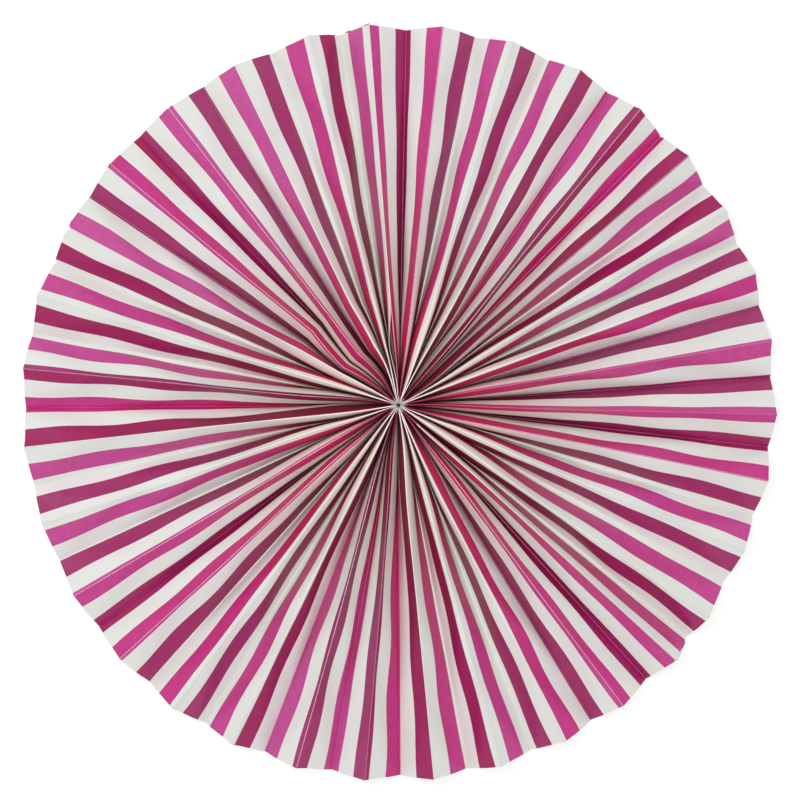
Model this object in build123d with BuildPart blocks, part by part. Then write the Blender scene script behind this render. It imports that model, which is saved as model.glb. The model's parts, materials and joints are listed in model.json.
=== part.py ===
from build123d import *
import os
from math import cos, pi, radians, sin, sqrt

# The rosette lies on its back. +Z is out of the printed face, and the origin is on the hub axis in the plane
# of the back folds.
rim_radius = 200.0
core_radius = 1.9
paper_thickness = 0.15

# Pleats. Even folds are mountains and odd folds valleys, counted counter-clockwise from the first seam.
long_sheet_pleats = 20
short_sheet_pleats = 13
first_seam_angle = 94.4

# Slope of the facets at the rim. A flatter pleat spreads wider. The two seam pleats are stiff and stay steep.
mean_tilt = 31.0
tilt_swing = 7.0
oval_swing = 4.0
widest_angle = 150.0
seam_tilt = 46.0

# Glue laps, where the end facet of one sheet runs on beneath the first facet of the next
lap_width_share = 0.8
lap_start_share = 0.116
lap_overhang = 0.7
lap_clearance = 0.12

# Centre glue
glue_clearance = 0.02
glue_height = 20.0
glue_rounding = 1.2

# Corners of the flat panels, as shares of a fold from the core to the rim. Paper can't twist, so a facet
# buckles into triangles that stand in turn on its mountain and on its valley. The stiff seam folds have the
# corners of valleys, and one more where the lap starts.
mountain_shares = (0.0, 0.012, 0.035, 0.08, 0.263, 0.566, 0.874, 1.0)
valley_shares = (0.0, 0.012, 0.035, 0.08, 0.414, 0.722, 1.0)
seam_shares = tuple(sorted((*valley_shares, lap_start_share)))

pleat_count = long_sheet_pleats + short_sheet_pleats
fold_count = 2 * pleat_count
second_seam_fold = 2 * long_sheet_pleats
seam_folds = (0, second_seam_fold, fold_count)
inner_lap_shares = [share for share in seam_shares[:-1] if share >= lap_start_share]
lap_shares = (*inner_lap_shares, 1 + lap_overhang / rim_radius)


def rim_tilt(facet):
    # Slope at the rim of the facet that follows the fold of the same number
    if facet in seam_folds or facet - 1 in seam_folds:
        return seam_tilt
    even_angle = first_seam_angle + 360.0 * (facet + 0.5) / fold_count
    turn = radians(even_angle - widest_angle)
    return mean_tilt - tilt_swing * cos(turn) - oval_swing * cos(2 * turn)


spread_shares = [cos(radians(rim_tilt(facet))) for facet in range(fold_count)]
spread_sum = sum(spread_shares)
spread_angles = [360.0 * share / spread_sum for share in spread_shares]
fold_angles = [first_seam_angle + sum(spread_angles[:fold]) for fold in range(fold_count)]
facet_width = 2 * pi * rim_radius / spread_sum


def fold_point(fold, share):
    # A point in plan on a fold, which runs straight from the evenly packed core to its place at the rim
    turn = fold % fold_count
    core_angle = radians(first_seam_angle + 360.0 * turn / fold_count)
    rim_angle = radians(fold_angles[turn])
    inner = Vector(core_radius * cos(core_angle), core_radius * sin(core_angle))
    outer = Vector(rim_radius * cos(rim_angle), rim_radius * sin(rim_angle))
    return inner + (outer - inner) * share


def fold_run(fold, share):
    # Mean distance in plan from a fold to its two neighbours
    here = fold_point(fold, share)
    before = fold_point(fold - 1, share)
    after = fold_point(fold + 1, share)
    return ((here - before).length + (after - here).length) / 2


def fold_rise(fold, share):
    # Height of a pleat, from the facet's own width and how far it is spread
    return sqrt(facet_width**2 - fold_run(fold, share) ** 2)


def fold_wall(fold, share):
    # Paper thickness measured upright at a fold, which grows as the facets steepen towards the core
    reach = fold_run(fold, share) * sqrt(facet_width**2 - paper_thickness**2)
    return paper_thickness * facet_width**2 / (reach + paper_thickness * fold_rise(fold, share))


def fold_shares(fold):
    # Where the panels of the two facets beside a fold have their corners on it
    if fold in seam_folds:
        return seam_shares
    return valley_shares if fold % 2 else mountain_shares


def lap_gap(fold, share):
    # Room for the film of glue between a lap and the facet over it, measured upright
    return fold_wall(fold, share) * lap_clearance / paper_thickness


def back_point(place, share, cut_fold):
    # The back of the paper at a corner. A whole place is a fold, one past it is the free edge of its lap.
    fold = int(place)
    across = place - fold
    rise, wall, gap = fold_rise(fold, share), fold_wall(fold, share), lap_gap(fold, share)
    point = fold_point(fold, share)
    if across:
        point += (fold_point(fold + 1, share) - point) * across
        return point + Vector(0, 0, rise * (1 - across) - gap * across - wall)
    if fold == cut_fold and share >= lap_start_share:
        return point + Vector(0, 0, rise + gap)
    return point + Vector(0, 0, 0 if fold % 2 else rise - wall)


def strip_panels(near, far, near_shares, far_shares, leader):
    # Corners of the flat triangles between two lines of corners. A line across walks out from the core: the
    # end that lies further in steps on to its next corner, the leader's if level, and sweeps a triangle.
    steps = [(share, near, following) for share, following in zip(near_shares, near_shares[1:])]
    steps += [(share, far, following) for share, following in zip(far_shares, far_shares[1:])]
    ends = {near: near_shares[0], far: far_shares[0]}
    panels = []
    for share, place, following in sorted(steps, key=lambda step: (step[0], step[1] != leader)):
        panels.append(((near, ends[near]), (place, following), (far, ends[far])))
        ends[place] = following
    return panels


def flat_face(corners):
    with BuildLine() as outline:
        Polyline(*corners, close=True)
    return make_face(outline.edges(), mode=Mode.PRIVATE).face()


def sheet_skin(first_fold, last_fold):
    # The skin of a folded sheet: its printed face and its back, panel by panel, and the cut edges between
    panels = []
    for fold in range(first_fold, last_fold):
        valley = fold if fold % 2 else fold + 1
        mountain = fold + 1 if fold % 2 else fold
        leader = valley if mountain in seam_folds else mountain
        panels += strip_panels(fold, fold + 1, fold_shares(fold), fold_shares(fold + 1), leader)
    free_edge = last_fold + lap_width_share
    panels += strip_panels(last_fold, free_edge, lap_shares, lap_shares, free_edge)

    def back(corner):
        return back_point(*corner, first_fold)

    def face(corner):
        return back(corner) + Vector(0, 0, fold_wall(int(corner[0]), corner[1]))

    edges = {edge for panel in panels for edge in zip(panel, panel[1:] + panel[:1])}
    faces = [flat_face([face(corner) for corner in panel]) for panel in panels]
    faces += [flat_face([back(corner) for corner in panel]) for panel in panels]
    faces += [
        flat_face([back(start), back(end), face(end), face(start)])
        for start, end in edges
        if (end, start) not in edges
    ]
    return Shell(faces)


os.makedirs("parts", exist_ok=True)

# Long sheet, one strip of paper from the first seam to the second
long_skin = sheet_skin(0, second_seam_fold)
with BuildPart() as long_sheet:
    add(Solid(long_skin))
long_sheet.part.label = "long_sheet"
export_step(long_sheet.part, "parts/long_sheet.step")

# Short sheet, which closes the ring
short_skin = sheet_skin(second_seam_fold, fold_count)
with BuildPart() as short_sheet:
    add(Solid(short_skin))
short_sheet.part.label = "short_sheet"
export_step(short_sheet.part, "parts/short_sheet.step")

# Centre glue, which fills the core between the inner edges of the pleats
glue_radius = core_radius * cos(pi / fold_count) - glue_clearance
with BuildPart() as centre_glue:
    with BuildSketch():
        Circle(glue_radius)
    extrude(amount=glue_height)
    fillet(centre_glue.edges().group_by(Axis.Z)[-1], min(glue_rounding, 0.9 * glue_radius))
centre_glue.part.label = "centre_glue"
export_step(centre_glue.part, "parts/centre_glue.step")
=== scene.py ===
import json
import math
import bpy
import numpy as np
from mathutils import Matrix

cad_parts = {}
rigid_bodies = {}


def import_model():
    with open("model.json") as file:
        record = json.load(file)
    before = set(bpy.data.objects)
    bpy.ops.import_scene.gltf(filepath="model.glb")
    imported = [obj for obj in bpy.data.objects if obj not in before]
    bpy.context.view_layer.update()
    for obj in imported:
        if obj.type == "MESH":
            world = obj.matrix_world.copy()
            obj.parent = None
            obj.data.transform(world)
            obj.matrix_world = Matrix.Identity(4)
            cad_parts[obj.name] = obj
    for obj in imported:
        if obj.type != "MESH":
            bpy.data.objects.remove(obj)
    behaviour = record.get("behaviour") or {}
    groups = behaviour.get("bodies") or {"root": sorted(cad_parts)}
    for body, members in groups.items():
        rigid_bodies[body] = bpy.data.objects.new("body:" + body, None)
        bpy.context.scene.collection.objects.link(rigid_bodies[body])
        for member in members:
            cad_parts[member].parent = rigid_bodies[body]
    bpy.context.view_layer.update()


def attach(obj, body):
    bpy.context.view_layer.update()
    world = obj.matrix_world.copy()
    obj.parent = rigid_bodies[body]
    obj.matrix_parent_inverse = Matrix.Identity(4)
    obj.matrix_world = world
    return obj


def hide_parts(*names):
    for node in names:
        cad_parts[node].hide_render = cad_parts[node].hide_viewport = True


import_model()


# what the folds follow, in metres and degrees, as the frame's own solids do
rosette = {
    "rimRadius": 0.2,
    "coreRadius": 0.0019,
    "paperThickness": 0.00015,
    "longPleats": 20,
    "shortPleats": 13,
    "firstSeamAngle": 94.4,
    "meanTilt": 31.0,  # slope of the facets at the rim
    "tiltSwing": 7.0,  # flatter, wider pleats on one side
    "ovalSwing": 4.0,
    "widestAngle": 150.0,
    "seamTilt": 46.0,  # the doubled seam pleats stay steep
    "valleyHeight": 0.0002,  # printed face over the back plane
    "lapStart": 0.025,  # radius where the glue laps begin
    "lapRiseShare": 0.6,  # of that radius, where the cut edge begins to lift
    "lapOverhang": 0.0007,
    "overhangFrom": 0.95,  # share of the fold where a lap begins to reach out
    "lapLift": 0.00032,  # cut edge over the other sheet's end fold, square to the paper
    "foldRadius": 0.00026,  # folds are rounded
    "foldRunShare": 0.49,  # the rounding takes no more of the run, where folds crowd at the core
    "leastRadius": 0.01,  # stands in for smaller radii in divisions
}
foldCount = 2 * (rosette["longPleats"] + rosette["shortPleats"])
secondSeam = 2 * rosette["longPleats"]

# how far folds have settled from their even places at the rim: (fold, degrees)
settling = [
    (0, 0.0), (4, 0.5), (8, 0.9), (11, 0.1), (14, -1.1), (17, -1.1), (20, -0.4), (23, 0.4), (27, -0.3),
    (33, 0.1), (40, -0.1), (41.5, -1.1), (43, -0.3), (46, 0.5), (48, 0.0), (51, 0.9), (54, 0.6),
    (58, -0.2), (62, 0.3), (66, 0.0),
]

# the hub sits off the middle, and the rim is a little oval
runOut = {"up": 0.0013, "oval": 0.0008}

# nicks torn into the rim, beside a fold
nicks = [
    {"fold": 6, "aside": 0.0, "halfWidth": 0.0007, "depth": 0.0010},
    {"fold": 8, "aside": -0.0012, "halfWidth": 0.0012, "depth": 0.0006},
    {"fold": 10, "aside": 0.0004, "halfWidth": 0.0026, "depth": 0.0027},
    {"fold": 11, "aside": 0.0, "halfWidth": 0.0005, "depth": 0.0026},
    {"fold": 40, "aside": 0.0, "halfWidth": 0.0009, "depth": 0.0012},
    {"fold": 57, "aside": 0.0, "halfWidth": 0.0006, "depth": 0.0007},
]
nickReach = 0.012

# soft waves that twisted facets buckle into
buckle = {
    "length": 0.0605,
    "ridgeRadius": 0.054,  # where a ridge leaves a mountain fold
    "ridgeSlant": 0.030,  # how much further out it meets the valley
    "height": 0.0009,
    "seamShare": 0.3,  # of the height, on the stiff facets beside the seams
    "from": 0.02,
    "full": 0.17,
    "heightSpread": 0.4,
    "phaseSpread": 0.9,
    "seed": 5,
}

# where pleats are squeezed together their walls bulge into the grooves
bulge = {
    "share": 0.38,  # of the run from fold to fold
    "spread": 0.2,
    "hollows": (5,),  # facets pushed in by their neighbours
    "hollowShare": -0.1,
    "full": 0.024,
    "gone": 0.08,
}

# pleats pushed aside near the hub: about an angle and a radius, by so many degrees counter-clockwise
leans = [
    {"angle": 139.0, "width": 8.0, "turn": 6.0, "radius": 0.035, "reach": 0.024},
    {"angle": 124.0, "width": 14.0, "turn": -7.0, "radius": 0.013, "reach": 0.020},
    {"angle": 112.0, "width": 8.0, "turn": -4.5, "radius": 0.022, "reach": 0.036},
    {"angle": 325.5, "width": 4.0, "turn": 0.5, "radius": 0.038, "reach": 0.052},
    {"angle": 338.0, "width": 4.0, "turn": 2.5, "radius": 0.030, "reach": 0.036},
    {"angle": 331.5, "width": 2.0, "turn": 0.6, "radius": 0.056, "reach": 0.026},
]

# near the hub the pleats bunch up and lean by chance
looseness = {
    "bunches": (5, 8, 13),  # bunches round the hub, one wave each
    "bunchTurn": 2.2,  # degrees
    "bunchReach": 0.03,
    "mountainShare": 0.78,  # of the gap to the next fold
    "valleyShare": 0.16,
    "reach": 0.058,
    "seed": 8,
}

# the top seam has come unstuck near the hub and gapes there
gape = {"aside": 0.0028, "radius": 0.031, "reach": 0.014}

# the grid of each sheet
grid = {
    "rows": 84,
    "shares": [0.0, 0.008, 0.018, 0.07, 0.2, 0.35, 0.5, 0.65, 0.8, 0.93, 0.982, 0.992],
    "lapShares": [0.0, 0.008, 0.018, 0.1, 0.3, 0.55, 0.8],
    "roundShare": 0.018,  # of a facet, at either fold
    "slack": 1e-6,  # keeps a fold in the facet that it starts
}


def smoothStep(low, high, x):
    t = np.clip((x - low) / (high - low), 0.0, 1.0)
    return t * t * (3.0 - 2.0 * t)


# each facet spreads at the rim by the cosine of its slope; the spreads add up to a full turn
def foldLayout():
    facet = np.arange(foldCount)
    evenAngle = rosette["firstSeamAngle"] + 360.0 * (facet + 0.5) / foldCount
    turn = np.radians(evenAngle - rosette["widestAngle"])
    swing = rosette["tiltSwing"] * np.cos(turn)
    tilt = rosette["meanTilt"] - swing - rosette["ovalSwing"] * np.cos(2 * turn)
    tilt[[0, 1, secondSeam, secondSeam + 1]] = rosette["seamTilt"]
    spread = np.cos(np.radians(tilt))
    before = np.cumsum(spread) - spread
    settled = np.interp(facet, *zip(*settling))
    angles = rosette["firstSeamAngle"] + 360.0 * before / spread.sum() + settled
    width = 2 * math.pi * rosette["rimRadius"] / spread.sum()
    return angles, width


foldAngles, facetWidth = foldLayout()


# leaning in degrees: a bell about an angle times a tent over the radius for each crushed place, waves round
# the hub where pleats bunch, and a chance share of the gap between folds, the last two fading outward
def leanTurn(radius):
    rng = np.random.default_rng(looseness["seed"])
    turn = np.zeros_like(radius)
    for bunches in looseness["bunches"]:
        wave = np.sin(np.radians(bunches * foldAngles) + rng.uniform(0, 2 * math.pi))[:, None]
        turn = turn + looseness["bunchTurn"] * wave * np.exp(-(radius / looseness["bunchReach"]) ** 2)
    for lean in leans:
        apart = (foldAngles - lean["angle"] + 180.0) % 360.0 - 180.0
        near = np.exp(-(apart / lean["width"]) ** 2)[:, None]
        tent = np.maximum(1 - np.abs(radius - lean["radius"]) / lean["reach"], 0)
        turn = turn + lean["turn"] * near * tent
    placed = foldAngles[:, None] + turn
    gap = ((np.roll(placed, -1, 0) - np.roll(placed, 1, 0)) % 360.0) / 2
    mountain = np.arange(foldCount) % 2 == 0
    share = np.where(mountain, looseness["mountainShare"], looseness["valleyShare"])
    drawn = share * rng.uniform(-1, 1, foldCount)
    drawn[[0, secondSeam]] = 0.0
    return turn + drawn[:, None] * gap * np.exp(-(radius / looseness["reach"]) ** 2)


# every fold as a row of points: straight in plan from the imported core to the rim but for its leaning, a
# mountain as high as the root of facet width squared less run squared, a valley on the back plane
def foldLines(share):
    fold = np.arange(foldCount)
    coreAngle = np.radians(rosette["firstSeamAngle"] + 360.0 * fold / foldCount)[:, None]
    rimAngle = np.radians(foldAngles)[:, None]
    core = rosette["coreRadius"]
    rim = rosette["rimRadius"] + runOut["up"] * np.sin(rimAngle) + runOut["oval"] * np.sin(2 * rimAngle)
    x = (1 - share) * core * np.cos(coreAngle) + share * rim * np.cos(rimAngle)
    y = (1 - share) * core * np.sin(coreAngle) + share * rim * np.sin(rimAngle)
    turned = np.radians(leanTurn(np.hypot(x, y)))
    x, y = x * np.cos(turned) - y * np.sin(turned), x * np.sin(turned) + y * np.cos(turned)
    run = np.hypot(np.roll(x, -1, 0) - x, np.roll(y, -1, 0) - y)
    run = (run + np.roll(run, 1, 0)) / 2
    rise = np.sqrt(facetWidth**2 - run**2)
    z = np.where(fold[:, None] % 2 == 0, rise, rosette["valleyHeight"])
    return np.stack([x, y, z], axis=2), run


# the quarter round from the ridge of a fold to where its facet leaves it: sine aside, cosine up or down
def roundedFold(ridge, across, run, share, valley):
    radius = np.minimum(rosette["foldRadius"], rosette["foldRunShare"] * run)
    quarter = np.clip(share / grid["roundShare"], 0.0, 1.0) * math.pi / 2
    aside = across[..., :2] / np.linalg.norm(across[..., :2], axis=2, keepdims=True)
    rounded = ridge.copy()
    rounded[..., :2] += aside * (radius * np.sin(quarter))[..., None]
    rounded[..., 2] += np.where(valley[:, None] == 1, 1, -1) * radius * (1 - np.cos(quarter))
    return rounded


# a sheet is the ruled surface from fold to fold; column = facet number + share of the facet, row = share of
# the fold. Square to each facet come a wave, the cosine of the radius less the ridge's own radius, and near
# the hub a bulge; both go as the sine of the way from mountain to valley, so they leave the folds alone
def sheetSurface(firstFold, facets):
    whole = (np.arange(facets)[:, None] + np.array(grid["shares"])).ravel()
    along = np.concatenate([whole, facets + np.array(grid["lapShares"])])
    facet = np.floor(along + grid["slack"]).astype(int)
    share = (along - facet)[:, None]
    out = np.linspace(0.0, 1.0, grid["rows"])
    lines, runs = foldLines(out)
    here = (firstFold + facet) % foldCount
    following = (here + 1) % foldCount
    across = lines[following] - lines[here]
    flat = (share - grid["roundShare"]) / (1 - 2 * grid["roundShare"])
    flat = np.clip(flat, 0.0, 1.0)[..., None]
    begin = roundedFold(lines[here], across, runs[here], share, here % 2)
    close = roundedFold(lines[following], -across, runs[following], 1 - share, following % 2)
    points = begin * (1 - flat) + close * flat

    outward = np.gradient(points, axis=1)
    normal = np.cross(outward, across)
    normal /= np.linalg.norm(normal, axis=2, keepdims=True)
    radius = np.hypot(points[..., 0], points[..., 1])
    fromMountain = np.where((here % 2 == 0)[:, None], share, 1 - share)
    between = np.sin(math.pi * fromMountain)
    rng = np.random.default_rng(buckle["seed"])
    highs = 1 + buckle["heightSpread"] * rng.uniform(-1, 1, foldCount)
    phases = buckle["phaseSpread"] * rng.uniform(-1, 1, foldCount)
    stiff = np.ones(foldCount)
    stiff[[0, secondSeam, secondSeam - 1, foldCount - 1]] = buckle["seamShare"]
    fromRidge = radius - buckle["ridgeRadius"] - buckle["ridgeSlant"] * fromMountain
    wave = np.cos(2 * math.pi * fromRidge / buckle["length"] + phases[here][:, None]) * between
    wave = wave * (buckle["height"] * highs * stiff)[here][:, None]
    wave = wave * smoothStep(buckle["from"], buckle["full"], radius)
    bulges = bulge["share"] + bulge["spread"] * rng.uniform(-1, 1, foldCount)
    bulges[list(bulge["hollows"])] = bulge["hollowShare"]
    squeezed = bulges[here][:, None] * (1 - smoothStep(bulge["full"], bulge["gone"], radius))
    squeezed = squeezed * np.linalg.norm(across[..., :2], axis=2) * between
    points = points + normal * (wave + squeezed)[..., None]

    # the cut edge lies on the other sheet, and the lap runs on beneath it
    lapRise = smoothStep(rosette["lapRiseShare"] * rosette["lapStart"], rosette["lapStart"], radius)
    lift = rosette["lapLift"] * (facetWidth / runs[here]) * lapRise
    first = (facet == 0)[:, None]
    lap = (facet == facets)[:, None]
    points[..., 2] += np.where(first, lift * (1 - share), 0) - np.where(lap, lift * share, 0)
    divisor = np.maximum(radius, rosette["leastRadius"])
    if firstFold == 0:
        parted = gape["aside"] * np.exp(-((radius - gape["radius"]) / gape["reach"]) ** 2)
        parted = np.where(first, parted * (1 - share) ** 2, 0) / divisor
        x, y = points[..., 0].copy(), points[..., 1].copy()
        points[..., 0], points[..., 1] = x - y * parted, y + x * parted

    # the lap reaches out past the rim, and nicks are pulled in
    overhang = np.where(lap, rosette["lapOverhang"] * smoothStep(rosette["overhangFrom"], 1.0, out), 0)
    torn = np.zeros_like(radius)
    for nick in nicks:
        aside = np.abs((firstFold + along - nick["fold"]) * facetWidth - nick["aside"])[:, None]
        torn = np.maximum(torn, nick["depth"] * np.clip(1 - aside / nick["halfWidth"], 0.0, 1.0))
    torn = torn * smoothStep(rosette["rimRadius"] - nickReach, rosette["rimRadius"], radius)
    points[..., :2] *= 1 + ((overhang - torn) / divisor)[..., None]
    return points, along, out * (rosette["rimRadius"] - rosette["coreRadius"])


# how steep the surface stands: one less the upward part of its normal, which is the cross product of the two
# ways along it
def slopeOf(points):
    normal = np.cross(np.gradient(points, axis=1), np.gradient(points, axis=0))
    return 1 - np.abs(normal[..., 2]) / np.linalg.norm(normal, axis=2)


# puts a grid of points into a mesh with two UV maps, where a point lies in the print and past which fold, and
# with its steepness
def gridPiece(name, points, along, printed, out):
    cols, rows = points.shape[:2]
    index = np.arange(cols * rows).reshape(cols, rows)
    corners = [index[:-1, :-1], index[:-1, 1:], index[1:, 1:], index[1:, :-1]]
    quads = np.stack(corners, axis=2).reshape(-1, 4)
    mesh = bpy.data.meshes.new(name)
    mesh.vertices.add(cols * rows)
    mesh.vertices.foreach_set("co", points.astype(np.float32).ravel())
    mesh.loops.add(quads.size)
    mesh.loops.foreach_set("vertex_index", quads.ravel().astype(np.int32))
    mesh.polygons.add(len(quads))
    mesh.polygons.foreach_set("loop_start", np.arange(0, quads.size, 4, dtype=np.int32))
    mesh.update(calc_edges=True)
    for label, first in (("print", printed), ("folds", along)):
        uv = np.stack(np.broadcast_arrays(first[:, None], out[None, :]), axis=2).reshape(-1, 2)
        layer = mesh.uv_layers.new(name=label)
        layer.data.foreach_set("uv", uv[quads.ravel()].astype(np.float32).ravel())
    mesh.polygons.foreach_set("use_smooth", np.ones(len(quads), dtype=bool))
    ends = np.zeros(2 * len(mesh.edges), dtype=np.int32)
    mesh.edges.foreach_get("vertices", ends)
    col, row = (ends // rows).reshape(-1, 2), (ends % rows).reshape(-1, 2)
    cut = (col == 0).all(1) | (col == cols - 1).all(1) | (row == 0).all(1) | (row == rows - 1).all(1)
    mesh.edges.foreach_set("use_edge_sharp", cut)  # no soft shading round the paper's cut edges
    steepness = mesh.attributes.new("steepness", "FLOAT", "POINT")
    steepness.data.foreach_set("value", slopeOf(points).astype(np.float32).ravel())
    mesh.validate()
    piece = bpy.data.objects.new(name, mesh)
    bpy.context.scene.collection.objects.link(piece)
    return piece


# a screen colour such as c7459a as the linear colour that shaders take
def ink(hexColour):
    parts = [int(hexColour[i:i + 2], 16) / 255 for i in (0, 2, 4)]
    return [p / 12.92 if p <= 0.04045 else ((p + 0.055) / 1.055) ** 2.4 for p in parts] + [1.0]


# node helpers: a socket takes a link or a plain value
def feed(tree, term, socket):
    if isinstance(term, bpy.types.NodeSocket):
        tree.links.new(term, socket)
    else:
        socket.default_value = term


def calc(tree, operation, *terms):
    node = tree.nodes.new("ShaderNodeMath")
    node.operation = operation
    for term, socket in zip(terms, node.inputs):
        feed(tree, term, socket)
    return node.outputs[0]


def ramp(tree, value, low, high, toLow=0.0, toHigh=1.0):
    node = tree.nodes.new("ShaderNodeMapRange")
    node.interpolation_type = "SMOOTHSTEP"
    for term, socket in zip((value, low, high, toLow, toHigh), node.inputs):
        feed(tree, term, socket)
    return node.outputs[0]


def blendColour(tree, share, low, high):
    node = tree.nodes.new("ShaderNodeMix")
    node.data_type = "RGBA"
    feed(tree, share, node.inputs[0])
    feed(tree, low, node.inputs[6])
    feed(tree, high, node.inputs[7])
    return node.outputs[2]


def scaleColour(tree, colour, scale):
    node = tree.nodes.new("ShaderNodeVectorMath")
    node.operation = "SCALE"
    feed(tree, colour, node.inputs[0])
    feed(tree, scale, node.inputs["Scale"])
    return node.outputs[0]


noiseRange = (0.3, 0.7)  # where most values of a noise lie
noiseMiddle = 0.5


def noise(tree, vector, scale, detail=2.0):
    node = tree.nodes.new("ShaderNodeTexNoise")
    feed(tree, vector, node.inputs["Vector"])
    node.inputs["Scale"].default_value = scale
    node.inputs["Detail"].default_value = detail
    return node.outputs["Fac"]


# a number between 0 and 1 drawn anew for each whole number
def chance(tree, number):
    node = tree.nodes.new("ShaderNodeTexWhiteNoise")
    node.noise_dimensions = "1D"
    feed(tree, number, node.inputs["W"])
    return node.outputs["Value"]


def vectorOf(tree, x, y, z):
    node = tree.nodes.new("ShaderNodeCombineXYZ")
    for term, socket in zip((x, y, z), node.inputs):
        feed(tree, term, socket)
    return node.outputs[0]


def newGroup(name, inputs, outputs):
    tree = bpy.data.node_groups.new(name, "ShaderNodeTree")
    for label, kind in inputs:
        tree.interface.new_socket(label, in_out="INPUT", socket_type=kind)
    for label, kind in outputs:
        tree.interface.new_socket(label, in_out="OUTPUT", socket_type=kind)
    return tree, tree.nodes.new("NodeGroupInput").outputs, tree.nodes.new("NodeGroupOutput").inputs


def placeGroup(tree, group):
    node = tree.nodes.new("ShaderNodeGroup")
    node.node_tree = group
    return node


# the printed face: lengths in metres, radii as the way out from the core
stripes = {
    "pitch": 0.0201,  # one colour and one white
    "edge": 0.03,  # softness of a stripe's edge, in its cosine
    "wander": 0.00012,
    "wanderScale": 160.0,
    # inks, a little clouded
    "pink": "ca2983",
    "dark": "a4095a",
    "toneLow": 0.94,
    "toneHigh": 1.05,
    "toneScale": 260.0,
    "toneDetail": 4.0,
    # painted sheen: each facet of ink is painted as catching a little more or less of the cool light, by
    # chance
    "paintedSheen": "c8b8ff",
    "paintedSheenShare": 0.14,
    "darkPaintedSheen": 0.5,  # of that on pink
    # paper, a little darker and greyer towards the rim
    "paper": "eef4ee",
    "paperRim": "ebece7",
    "rimFrom": 0.13,
    "rimFull": 0.19,
    # painted shade and red bounce light: print on steep facets is painted deeper and redder
    "pinkSteepShade": "c2204e",
    "darkSteepShade": "720a22",
    "paperSteepBounceLight": "f4f5ef",
    "slantFrom": 0.2,
    "slantFull": 0.92,
    "steepFrom": 0.5,
    "steepFull": 0.8,
    # painted shade and red bounce light: so is the print deep among the pleats, where their light is red
    "paperInnerShade": "f0e6dc",
    "innerFull": 0.03,
    "innerFrom": 0.11,
    "innerShare": 0.85,
    # painted light and shade at the hub: the paper is painted lighter and warmer there, the pink deeper
    "paperHubLight": "fff1ea",
    "pinkHubShade": "a3204f",
    "hubFull": 0.008,
    "hubFrom": 0.04,
    # painted shade on upright walls and in the grooves at the hub
    "paperDeepShade": "b06e62",
    "inkDeepShade": "6a0c24",
    "deepFrom": 0.82,
    "grooveFull": -0.9,  # cosine of the way from a mountain, 1, to a valley, -1
    "grooveFrom": 0.7,
    "grooveShare": 0.3,
    # white glue smeared over the ends of the pleats
    "glaze": "fbf1f5",
    "glazeGone": 0.0034,
    "glazeShare": 0.8,
    # cracks along the folds
    "crack": "f5c2e4",
    "crackWidth": 0.0004,
    "crackInner": 0.05,  # none at the core, full from here
    "valleyCrack": 0.4,  # of that on a mountain
    "crackLeast": 0.2,  # on the folds that chance spares most
    "crackFull": 0.8,  # chance from which a fold is wholly cracked
    "crackScale": 900.0,
    "crackDetail": 3.0,
    "crackGap": 0.28,  # noise that leaves a gap in a crack
    "crackWhole": 0.52,
}


# share of crack: a thin band on a fold, weaker in valleys and on some folds by chance, broken up by noise, on
# ink alone, and fading towards the core
def foldCracks(tree, given, band):
    nearest = calc(tree, "ROUND", given["Facets"])
    off = calc(tree, "ABSOLUTE", calc(tree, "SUBTRACT", given["Facets"], nearest))
    off = calc(tree, "MULTIPLY", off, facetWidth)
    line = ramp(tree, off, 0.0, stripes["crackWidth"], 1.0, 0.0)
    mountain = calc(tree, "COSINE", calc(tree, "MULTIPLY", nearest, math.pi))
    kind = ramp(tree, mountain, -1.0, 1.0, stripes["valleyCrack"], 1.0)
    drawn = chance(tree, calc(tree, "SUBTRACT", nearest, given["Seed"]))
    strength = ramp(tree, drawn, 0.0, stripes["crackFull"], stripes["crackLeast"], 1.0)
    place = vectorOf(tree, nearest, given["Out"], given["Seed"])
    broken = noise(tree, place, stripes["crackScale"], stripes["crackDetail"])
    gaps = ramp(tree, broken, stripes["crackGap"], stripes["crackWhole"])
    crack = calc(tree, "MULTIPLY", calc(tree, "MULTIPLY", line, kind), calc(tree, "MULTIPLY", strength, gaps))
    crack = calc(tree, "MULTIPLY", crack, band)
    return calc(tree, "MULTIPLY", crack, ramp(tree, given["Out"], 0.0, stripes["crackInner"]))
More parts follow.
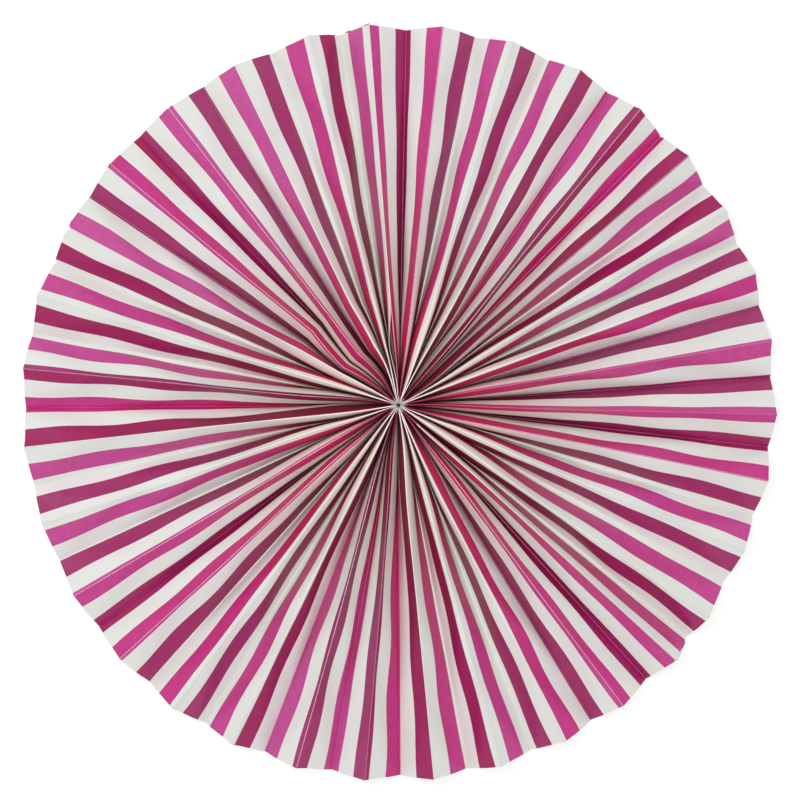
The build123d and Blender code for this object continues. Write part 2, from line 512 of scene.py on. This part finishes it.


# stripe = cosine of the way along over the pitch, cut at zero; every second one takes the dark ink. Inks and
# paper blend to painted light and shade, red from bounce light, by steepness, by nearness to the hub and in
# the grooves there, and each facet of ink takes a painted sheen by chance; cracks lie over the print, and
# glue over its inner end
def stripeGroup():
    tree, given, gives = newGroup(
        "stripedPrintAndShade",
        [("Along", "NodeSocketFloat"), ("Out", "NodeSocketFloat"), ("Facets", "NodeSocketFloat"),
         ("First Stripe", "NodeSocketFloat"), ("Seed", "NodeSocketFloat"), ("Painted Sheen Seed", "NodeSocketFloat"),
         ("Steepness", "NodeSocketFloat")],
        [("Color", "NodeSocketColor"), ("Ink", "NodeSocketFloat"), ("Inner", "NodeSocketFloat")],
    )
    place = vectorOf(tree, given["Along"], given["Out"], given["Seed"])
    wander = calc(tree, "SUBTRACT", noise(tree, place, stripes["wanderScale"]), noiseMiddle)
    wander = calc(tree, "MULTIPLY", wander, 2 * stripes["wander"])
    shifted = calc(tree, "ADD", calc(tree, "SUBTRACT", given["Along"], given["First Stripe"]), wander)
    phase = calc(tree, "MULTIPLY", shifted, 2 * math.pi / stripes["pitch"])
    band = ramp(tree, calc(tree, "COSINE", phase), -stripes["edge"], stripes["edge"])
    pinkTurn = calc(tree, "GREATER_THAN", calc(tree, "COSINE", calc(tree, "MULTIPLY", phase, 0.5)), 0.0)

    # painted shade and red bounce light: masks for painting the print deeper and redder where it stands
    # steep, among the pleats, at the hub and in the grooves
    steepShade = ramp(tree, given["Steepness"], stripes["slantFrom"], stripes["slantFull"])
    steep = ramp(tree, given["Steepness"], stripes["steepFrom"], stripes["steepFull"])
    inner = ramp(tree, given["Out"], stripes["innerFull"], stripes["innerFrom"], stripes["innerShare"], 0.0)
    hub = ramp(tree, given["Out"], stripes["hubFull"], stripes["hubFrom"], 1.0, 0.0)
    rim = ramp(tree, given["Out"], stripes["rimFrom"], stripes["rimFull"])
    turn = calc(tree, "COSINE", calc(tree, "MULTIPLY", given["Facets"], math.pi))
    groove = ramp(tree, turn, stripes["grooveFull"], stripes["grooveFrom"], stripes["grooveShare"], 0.0)
    # painted shade: upright walls and the grooves at the hub are painted dark
    upright = ramp(tree, given["Steepness"], stripes["deepFrom"], 1.0)
    deepShade = calc(tree, "MAXIMUM", upright, calc(tree, "MULTIPLY", groove, hub))

    paper = blendColour(tree, rim, ink(stripes["paper"]), ink(stripes["paperRim"]))
    # painted light and shade on the paper: warm bounce light on steep facets, shade among the pleats, light
    # at the hub, dark in the grooves
    paper = blendColour(tree, steepShade, paper, ink(stripes["paperSteepBounceLight"]))
    paper = blendColour(tree, inner, paper, ink(stripes["paperInnerShade"]))
    paper = blendColour(tree, hub, paper, ink(stripes["paperHubLight"]))
    paper = blendColour(tree, deepShade, paper, ink(stripes["paperDeepShade"]))

    # painted shade and red bounce light on the inks: deeper and redder on steep facets and among the pleats
    pinkSteepShade = calc(tree, "MAXIMUM", steepShade, calc(tree, "MULTIPLY", inner, steep))
    pink = blendColour(tree, pinkSteepShade, ink(stripes["pink"]), ink(stripes["pinkSteepShade"]))
    # painted shade: the pink is painted deeper at the hub
    pink = blendColour(tree, hub, pink, ink(stripes["pinkHubShade"]))
    darkSteepShade = calc(tree, "MAXIMUM", steepShade, inner)
    dark = blendColour(tree, darkSteepShade, ink(stripes["dark"]), ink(stripes["darkSteepShade"]))
    # painted sheen: a cool sheen painted on each facet of ink by chance, fading among the pleats
    paintedSheen = chance(tree, calc(tree, "ADD", calc(tree, "FLOOR", given["Facets"]), given["Painted Sheen Seed"]))
    paintedSheen = calc(tree, "MULTIPLY", paintedSheen, ramp(tree, inner, 0.0, 1.0, stripes["paintedSheenShare"], 0.0))
    pink = blendColour(tree, paintedSheen, pink, ink(stripes["paintedSheen"]))
    darkPaintedSheen = calc(tree, "MULTIPLY", paintedSheen, stripes["darkPaintedSheen"])
    dark = blendColour(tree, darkPaintedSheen, dark, ink(stripes["paintedSheen"]))
    colour = blendColour(tree, pinkTurn, dark, pink)
    # painted shade over the inks on upright walls and in the grooves
    colour = blendColour(tree, deepShade, colour, ink(stripes["inkDeepShade"]))
    clouds = noise(tree, place, stripes["toneScale"], stripes["toneDetail"])
    tone = ramp(tree, clouds, *noiseRange, stripes["toneLow"], stripes["toneHigh"])

    printed = blendColour(tree, band, paper, scaleColour(tree, colour, tone))
    cracked = blendColour(tree, foldCracks(tree, given, band), printed, ink(stripes["crack"]))
    smeared = ramp(tree, given["Out"], 0.0, stripes["glazeGone"], stripes["glazeShare"], 0.0)
    feed(tree, blendColour(tree, smeared, cracked, ink(stripes["glaze"])), gives["Color"])
    feed(tree, band, gives["Ink"])
    feed(tree, inner, gives["Inner"])
    return tree


# the paper itself
fibres = {
    "fineScale": 1400.0,
    "fineDetail": 3.0,
    "fineShare": 0.35,
    "broadScale": 90.0,
    "bumpDistance": 0.0001,
    "faceBump": 0.25,
    "backBump": 0.35,
}
finish = {
    "paperRoughness": 0.45,  # the printed face has a satin gloss
    "inkRoughness": 0.36,
    "faceSpecular": 0.36,
    "backLow": "e2dfd8",  # the back is plain and dull
    "backHigh": "ebe9e3",
    "backRoughness": 0.75,
}


# fibres and faint waviness of the paper, from the place on the piece: fine noise plus broad noise
def fibreGroup():
    tree, given, gives = newGroup(
        "paperFibre",
        [("Place", "NodeSocketVector")],
        [("Height", "NodeSocketFloat"), ("Tone", "NodeSocketFloat")],
    )
    fine = noise(tree, given["Place"], fibres["fineScale"], fibres["fineDetail"])
    broad = noise(tree, given["Place"], fibres["broadScale"])
    feed(tree, calc(tree, "ADD", calc(tree, "MULTIPLY", fine, fibres["fineShare"]), broad), gives["Height"])
    feed(tree, broad, gives["Tone"])
    return tree


stripedPrintAndShade = stripeGroup()
paperFibre = fibreGroup()
print("node groups built")


def newMaterial(name):
    material = bpy.data.materials.new(name)
    material.use_nodes = True
    shader = material.node_tree.nodes["Principled BSDF"]
    return material, material.node_tree, shader


def paperBump(tree, shader, strength):
    coords = tree.nodes.new("ShaderNodeTexCoord")
    fibre = placeGroup(tree, paperFibre)
    feed(tree, coords.outputs["Object"], fibre.inputs["Place"])
    bump = tree.nodes.new("ShaderNodeBump")
    bump.inputs["Strength"].default_value = strength
    bump.inputs["Distance"].default_value = fibres["bumpDistance"]
    feed(tree, fibre.outputs["Height"], bump.inputs["Height"])
    feed(tree, bump.outputs["Normal"], shader.inputs["Normal"])
    return fibre


# satin print, dull towards the hub
def printedFace(name, firstStripe, seed, paintedSheenSeed):
    material, tree, shader = newMaterial(name)
    printed = placeGroup(tree, stripedPrintAndShade)
    for label, wanted in (("print", "Along"), ("folds", "Facets")):
        uv = tree.nodes.new("ShaderNodeUVMap")
        uv.uv_map = label
        split = tree.nodes.new("ShaderNodeSeparateXYZ")
        feed(tree, uv.outputs["UV"], split.inputs[0])
        feed(tree, split.outputs["X"], printed.inputs[wanted])
        feed(tree, split.outputs["Y"], printed.inputs["Out"])
    slope = tree.nodes.new("ShaderNodeAttribute")
    slope.attribute_name = "steepness"
    feed(tree, slope.outputs["Fac"], printed.inputs["Steepness"])
    printed.inputs["First Stripe"].default_value = firstStripe
    printed.inputs["Seed"].default_value = seed
    printed.inputs["Painted Sheen Seed"].default_value = paintedSheenSeed
    feed(tree, printed.outputs["Color"], shader.inputs["Base Color"])
    satin = ramp(tree, printed.outputs["Ink"], 0.0, 1.0, finish["paperRoughness"], finish["inkRoughness"])
    feed(tree, calc(tree, "MAXIMUM", satin, printed.outputs["Inner"]), shader.inputs["Roughness"])
    shader.inputs["Specular IOR Level"].default_value = finish["faceSpecular"]
    paperBump(tree, shader, fibres["faceBump"])
    return material


def plainBack():
    material, tree, shader = newMaterial("plainBack")
    fibre = paperBump(tree, shader, fibres["backBump"])
    tone = ramp(tree, fibre.outputs["Tone"], *noiseRange)
    shade = blendColour(tree, tone, ink(finish["backLow"]), ink(finish["backHigh"]))
    feed(tree, shade, shader.inputs["Base Color"])
    shader.inputs["Roughness"].default_value = finish["backRoughness"]
    return material


backMaterial = plainBack()

# each sheet: how much white leads the first stripe, how far its folds run ahead of the print, both in facets,
# and the seeds of its cracks and clouds and of its painted sheen
longSheet = {
    "name": "longSheet",
    "node": "long_sheet",
    "firstFold": 0,
    "facets": secondSeam,
    "whiteLead": 0.22,
    "drift": [
        (0, 0.0), (3, 0.22), (6, 0.32), (8, 0.33), (10, 0.43), (13, 0.46), (14, 0.28), (15.5, 0.20),
        (17.5, 0.18), (22, 0.06), (29, 0.06), (31, 0.11), (33, 0.25), (41, 0.25),
    ],
    "seed": 3.0,
    "paintedSheenSeed": 999.0,
}
shortSheet = {
    "name": "shortSheet",
    "node": "short_sheet",
    "firstFold": secondSeam,
    "facets": foldCount - secondSeam,
    "whiteLead": 0.32,
    "drift": [
        (0, 0.0), (1.5, 0.15), (3.5, 0.36), (4.5, 0.38), (6, 0.31), (9, 0.32), (11, 0.49), (13, 0.50),
        (19, 0.54), (22, 0.53), (27, 0.50),
    ],
    "seed": 11.0,
    "paintedSheenSeed": 205.0,
}


def makeSheet(sheet):
    points, along, out = sheetSurface(sheet["firstFold"], sheet["facets"])
    drift = np.interp(along, *zip(*sheet["drift"]))
    piece = gridPiece(sheet["name"], points, along, (along - drift) * facetWidth, out)
    firstStripe = sheet["whiteLead"] * facetWidth + stripes["pitch"] / 4
    printed = printedFace(sheet["name"] + "Print", firstStripe, sheet["seed"], sheet["paintedSheenSeed"])
    piece.data.materials.append(printed)
    piece.data.materials.append(backMaterial)
    thick = piece.modifiers.new("thickness", "SOLIDIFY")
    thick.thickness = rosette["paperThickness"]
    thick.offset = -1.0
    thick.material_offset = 1
    thick.material_offset_rim = 1
    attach(piece, "root")
    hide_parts(sheet["node"])
    length = round(along[-1] * facetWidth, 4)
    print(sheet["name"], "made,", len(piece.data.polygons), "faces, flat length", length)


makeSheet(longSheet)
makeSheet(shortSheet)

# the glue in the core, on the frame's own solid
glue = {
    "node": "centre_glue",
    "dot": "2c2022",
    "ends": "f6e9ef",
    "dotRadius": 0.00115,
    "dotEdge": 0.0003,
    "ragged": 0.0010,
    "raggedScale": 900.0,
    "raggedDetail": 3.0,
    "roughness": 0.6,
    "specular": 0.2,
}


# dull glue: dark at the middle and paler past a ragged edge, by the way from the axis
def driedGlue():
    material, tree, shader = newMaterial("driedGlue")
    coords = tree.nodes.new("ShaderNodeTexCoord")
    place = tree.nodes.new("ShaderNodeSeparateXYZ")
    feed(tree, coords.outputs["Object"], place.inputs[0])
    squares = [calc(tree, "POWER", place.outputs[axis], 2.0) for axis in ("X", "Y")]
    away = calc(tree, "SQRT", calc(tree, "ADD", *squares))
    cloud = noise(tree, coords.outputs["Object"], glue["raggedScale"], glue["raggedDetail"])
    rough = calc(tree, "MULTIPLY", calc(tree, "SUBTRACT", cloud, noiseMiddle), glue["ragged"])
    low, high = glue["dotRadius"] - glue["dotEdge"], glue["dotRadius"] + glue["dotEdge"]
    pale = ramp(tree, calc(tree, "ADD", away, rough), low, high)
    feed(tree, blendColour(tree, pale, ink(glue["dot"]), ink(glue["ends"])), shader.inputs["Base Color"])
    shader.inputs["Roughness"].default_value = glue["roughness"]
    shader.inputs["Specular IOR Level"].default_value = glue["specular"]
    return material


glueObject = bpy.data.objects[glue["node"]]
glueObject.data.materials.clear()
glueObject.data.materials.append(driedGlue())
print("glue dressed")

# camera straight above the face; the hub stands a little left of and below the middle of the frame
view = {
    "height": 0.704,
    "focalPixels": 1310.0,
    "frameWidth": 800.0,
    "sensorWidth": 36.0,
    "middleX": 0.0008,
    "middleY": 0.0027,
}
cameraData = bpy.data.cameras.new("camera")
cameraData.sensor_width = view["sensorWidth"]
cameraData.lens = view["sensorWidth"] * view["focalPixels"] / view["frameWidth"]
camera = bpy.data.objects.new("camera", cameraData)
camera.location = (view["middleX"], view["middleY"], view["height"])
bpy.context.scene.collection.objects.link(camera)
bpy.context.scene.camera = camera

# even studio light with a weak key from the upper left and a soft spot from the front
studio = {
    "white": (1.0, 1.0, 1.0, 1.0),
    "skyStrength": 0.71,
    "keyPower": 2.8,
    "keySize": 0.35,
    "keyPlace": (-0.8, 0.7, 1.1),
    "spotPower": 16.5,
    "spotHeight": 1.0,
    "spotAngle": 30.0,
    "spotBlend": 1.0,
    "spotSize": 0.2,
    "floorSize": 6.0,
    "floorColour": "f4f4f3",
    "floorRoughness": 0.9,
    "floorGlow": 0.3,
}


# 1 where the camera sees a thing, straight or in a reflection, and 0 where it only gives light
def seenDirectly(tree):
    path = tree.nodes.new("ShaderNodeLightPath")
    seen = calc(tree, "MAXIMUM", path.outputs["Is Camera Ray"], path.outputs["Is Glossy Ray"])
    return calc(tree, "MAXIMUM", seen, path.outputs["Is Transmission Ray"])


def makeSky():
    world = bpy.data.worlds.new("studioSky")
    world.use_nodes = True
    tree = world.node_tree
    background = tree.nodes["Background"]
    background.inputs["Color"].default_value = studio["white"]
    strength = ramp(tree, seenDirectly(tree), 0.0, 1.0, studio["skyStrength"], 1.0)
    feed(tree, strength, background.inputs["Strength"])
    bpy.context.scene.world = world


def makeLights():
    lamp = bpy.data.lights.new("keySoftbox", "AREA")
    lamp.energy = studio["keyPower"]
    lamp.size = studio["keySize"]
    key = bpy.data.objects.new("keySoftbox", lamp)
    key.location = studio["keyPlace"]
    key.rotation_euler = (-key.location).to_track_quat("-Z", "Y").to_euler()
    bpy.context.scene.collection.objects.link(key)

    beam = bpy.data.lights.new("frontSpot", "SPOT")
    beam.energy = studio["spotPower"]
    beam.spot_size = math.radians(studio["spotAngle"])
    beam.spot_blend = studio["spotBlend"]
    beam.shadow_soft_size = studio["spotSize"]
    spot = bpy.data.objects.new("frontSpot", beam)
    spot.location = (0.0, 0.0, studio["spotHeight"])
    bpy.context.scene.collection.objects.link(spot)


def makeFloor():
    half = studio["floorSize"] / 2
    corners = [(-half, -half, 0), (half, -half, 0), (half, half, 0), (-half, half, 0)]
    mesh = bpy.data.meshes.new("floor")
    mesh.from_pydata(corners, [], [(0, 1, 2, 3)])
    floor = bpy.data.objects.new("floor", mesh)
    bpy.context.scene.collection.objects.link(floor)
    material, tree, shader = newMaterial("paleFloor")
    shader.inputs["Base Color"].default_value = ink(studio["floorColour"])
    shader.inputs["Roughness"].default_value = studio["floorRoughness"]
    shader.inputs["Emission Color"].default_value = studio["white"]
    glow = calc(tree, "MULTIPLY", seenDirectly(tree), studio["floorGlow"])
    feed(tree, glow, shader.inputs["Emission Strength"])
    mesh.materials.append(material)


makeSky()
makeLights()
makeFloor()
bpy.context.scene.view_settings.view_transform = "Standard"
print("studio ready")
